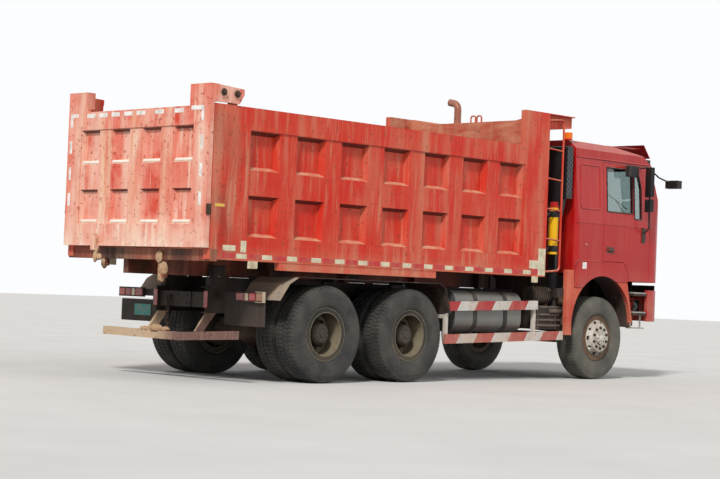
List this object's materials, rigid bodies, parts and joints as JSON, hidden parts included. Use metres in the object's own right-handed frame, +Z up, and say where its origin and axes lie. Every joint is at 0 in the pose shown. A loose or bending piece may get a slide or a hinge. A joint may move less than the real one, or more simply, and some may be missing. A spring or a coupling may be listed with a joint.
{
  "type": "three-axle dump truck",
  "caption": "Heavy dump truck with a tilting cab, a rear-tipping steel body raised by a front hoist, a top-hinged tailgate and steered front wheels",
  "frame": {"origin": "on the ground under the middle of the whole length", "axes": "+Z up, the truck faces -Y, its left side is +X"},
  "size_m": [2.9, 8.6, 3.7855],
  "materials": {
    "body_paint": "satin",
    "cab_paint": "gloss",
    "chassis_black": "satin",
    "bare_steel": "satin",
    "tank_steel": "satin",
    "wheel_paint": "satin",
    "rear_wheel_paint": "satin",
    "tyre": "matte",
    "glass": "gloss",
    "black_plastic": "matte",
    "guard_paint": "satin",
    "seat_cloth": "matte",
    "canister_yellow": "satin",
    "cast_iron": "matte",
    "lamp_red": "gloss",
    "lamp_clear": "gloss"
  },
  "bodies": {
    "chassis": {"frame_rails": "chassis_black", "subframe": "chassis_black", "front_axle": "cast_iron", "leaf_springs": "chassis_black", "drive_axles": "cast_iron", "powertrain": "cast_iron", "fuel_tank": "tank_steel", "side_guards": "guard_paint", "side_boxes": "chassis_black", "exhaust": "chassis_black", "air_intake": "black_plastic", "underrun_bar": "body_paint", "tail_lamps": "lamp_red", "mudguards": "black_plastic", "bumper": "cab_paint", "steps": "black_plastic", "headlamps": "lamp_clear", "air_filter": "black_plastic", "rear_chain": "cast_iron"},
    "cab": {"cab_shell": "cab_paint", "cab_roof": "cab_paint", "windscreen": "glass", "grille": "black_plastic", "sun_visor": "black_plastic", "front_mirror": "black_plastic", "seats": "seat_cloth", "dashboard": "black_plastic"},
    "steering": {"steering_wheel": "black_plastic"},
    "tie_rod": {"tie_rod": "chassis_black"},
    "dump_body": {"dump_floor": "body_paint", "dump_side_right": "body_paint", "dump_side_left": "body_paint", "headboard": "body_paint", "canister": "canister_yellow"},
    "tailgate": {"tailgate": "body_paint"},
    "hoist_barrel": {"hoist_barrel": "body_paint"},
    "hoist_stage_1": {"hoist_stage_1": "bare_steel"},
    "hoist_stage_2": {"hoist_stage_2": "bare_steel"},
    "hoist_rod": {"hoist_rod": "bare_steel"},
    "door_right": {"door_right": "cab_paint", "door_glass_right": "glass", "mirrors_right": "black_plastic"},
    "knuckle_right": {"knuckle_right": "cast_iron"},
    "wheel_front_right": {"tyre_front_right": "tyre", "rim_front_right": "wheel_paint"},
    "wheels_middle_right": {"tyres_middle_right": "tyre", "rims_middle_right": "rear_wheel_paint"},
    "wheels_rear_right": {"tyres_rear_right": "tyre", "rims_rear_right": "rear_wheel_paint"},
    "door_left": {"door_left": "cab_paint", "door_glass_left": "glass", "mirrors_left": "black_plastic"},
    "knuckle_left": {"knuckle_left": "cast_iron"},
    "wheel_front_left": {"tyre_front_left": "tyre", "rim_front_left": "wheel_paint"},
    "wheels_middle_left": {"tyres_middle_left": "tyre", "rims_middle_left": "rear_wheel_paint"},
    "wheels_rear_left": {"tyres_rear_left": "tyre", "rims_rear_left": "rear_wheel_paint"}
  },
  "joints": [
    {"name": "cab_tilt", "type": "hinge", "parent": "chassis", "child": "cab", "pos_m": [0, -4.15, 1.1], "axis": [1, 0, 0], "range_deg": [0, 45]},
    {"name": "door_right_hinge", "type": "hinge", "parent": "cab", "child": "door_right", "pos_m": [-1.22, -3.854, 2], "axis": [0, 0, 1], "range_deg": [0, 75]},
    {"name": "door_left_hinge", "type": "hinge", "parent": "cab", "child": "door_left", "pos_m": [1.22, -3.854, 2], "axis": [0, 0, -1], "range_deg": [0, 75]},
    {"name": "steering", "type": "hinge", "parent": "chassis", "child": "knuckle_left", "pos_m": [0.89, -2.82, 0.552], "axis": [0, 0, 1], "range_deg": [-35, 35]},
    {"name": "steering_right", "type": "hinge", "parent": "chassis", "child": "knuckle_right", "pos_m": [-0.89, -2.82, 0.552], "axis": [0, 0, 1], "range_deg": [-35, 35]},
    {"name": "tie_rod_pivot", "type": "hinge", "parent": "knuckle_left", "child": "tie_rod", "pos_m": [0.89, -2.65, 0.484], "axis": [0, 0, 1], "range_deg": [-35, 35]},
    {"name": "steering_wheel_turn", "type": "hinge", "parent": "cab", "child": "steering", "pos_m": [0.56, -3.69, 2.05], "axis": [0, 0.6549, 0.7557], "range_deg": [-420, 420]},
    {"name": "front_wheel_right", "type": "hinge", "parent": "knuckle_right", "child": "wheel_front_right", "pos_m": [-1.018, -2.82, 0.552], "axis": [1, 0, 0], "continuous": true},
    {"name": "front_wheel_left", "type": "hinge", "parent": "knuckle_left", "child": "wheel_front_left", "pos_m": [1.018, -2.82, 0.552], "axis": [1, 0, 0], "continuous": true},
    {"name": "middle_wheels_right", "type": "hinge", "parent": "chassis", "child": "wheels_middle_right", "pos_m": [-0.923, 0.963, 0.552], "axis": [1, 0, 0], "continuous": true},
    {"name": "middle_wheels_left", "type": "hinge", "parent": "chassis", "child": "wheels_middle_left", "pos_m": [0.923, 0.963, 0.552], "axis": [1, 0, 0], "continuous": true},
    {"name": "rear_wheels_right", "type": "hinge", "parent": "chassis", "child": "wheels_rear_right", "pos_m": [-0.923, 2.363, 0.552], "axis": [1, 0, 0], "continuous": true},
    {"name": "rear_wheels_left", "type": "hinge", "parent": "chassis", "child": "wheels_rear_left", "pos_m": [0.923, 2.363, 0.552], "axis": [1, 0, 0], "continuous": true},
    {"name": "tip", "type": "hinge", "parent": "chassis", "child": "dump_body", "pos_m": [0, 3.37, 1.22], "axis": [-1, 0, 0], "range_deg": [0, 45]},
    {"name": "tailgate_hinge", "type": "hinge", "parent": "dump_body", "child": "tailgate", "pos_m": [0, 3.869, 3.104], "axis": [1, 0, 0], "range_deg": [0, 60]},
    {"name": "hoist_trunnion", "type": "hinge", "parent": "dump_body", "child": "hoist_barrel", "pos_m": [0, -1.68, 1.4], "axis": [1, 0, 0], "range_deg": [0, 22.37]},
    {"name": "hoist_slide_1", "type": "slide", "parent": "hoist_barrel", "child": "hoist_stage_1", "axis": [0, 0, -1], "range_m": [0, 1.2811]},
    {"name": "hoist_slide_2", "type": "slide", "parent": "hoist_stage_1", "child": "hoist_stage_2", "axis": [0, 0, -1], "range_m": [0, 1.2811]},
    {"name": "hoist_slide_3", "type": "slide", "parent": "hoist_stage_2", "child": "hoist_rod", "axis": [0, 0, -1], "range_m": [0, 1.2811]}
  ],
  "couplings": [
    {"joint": "steering_right", "follows": "steering", "ratio": 1},
    {"joint": "tie_rod_pivot", "follows": "steering", "ratio": -1},
    {"joint": "steering_wheel_turn", "follows": "steering", "ratio": 12},
    {"joint": "hoist_trunnion", "follows": "tip", "ratio": 0.49591},
    {"joint": "hoist_slide_1", "follows": "tip", "m_per_rad": 1.6299},
    {"joint": "hoist_slide_2", "follows": "tip", "m_per_rad": 1.6299},
    {"joint": "hoist_slide_3", "follows": "tip", "m_per_rad": 1.6299}
  ]
}
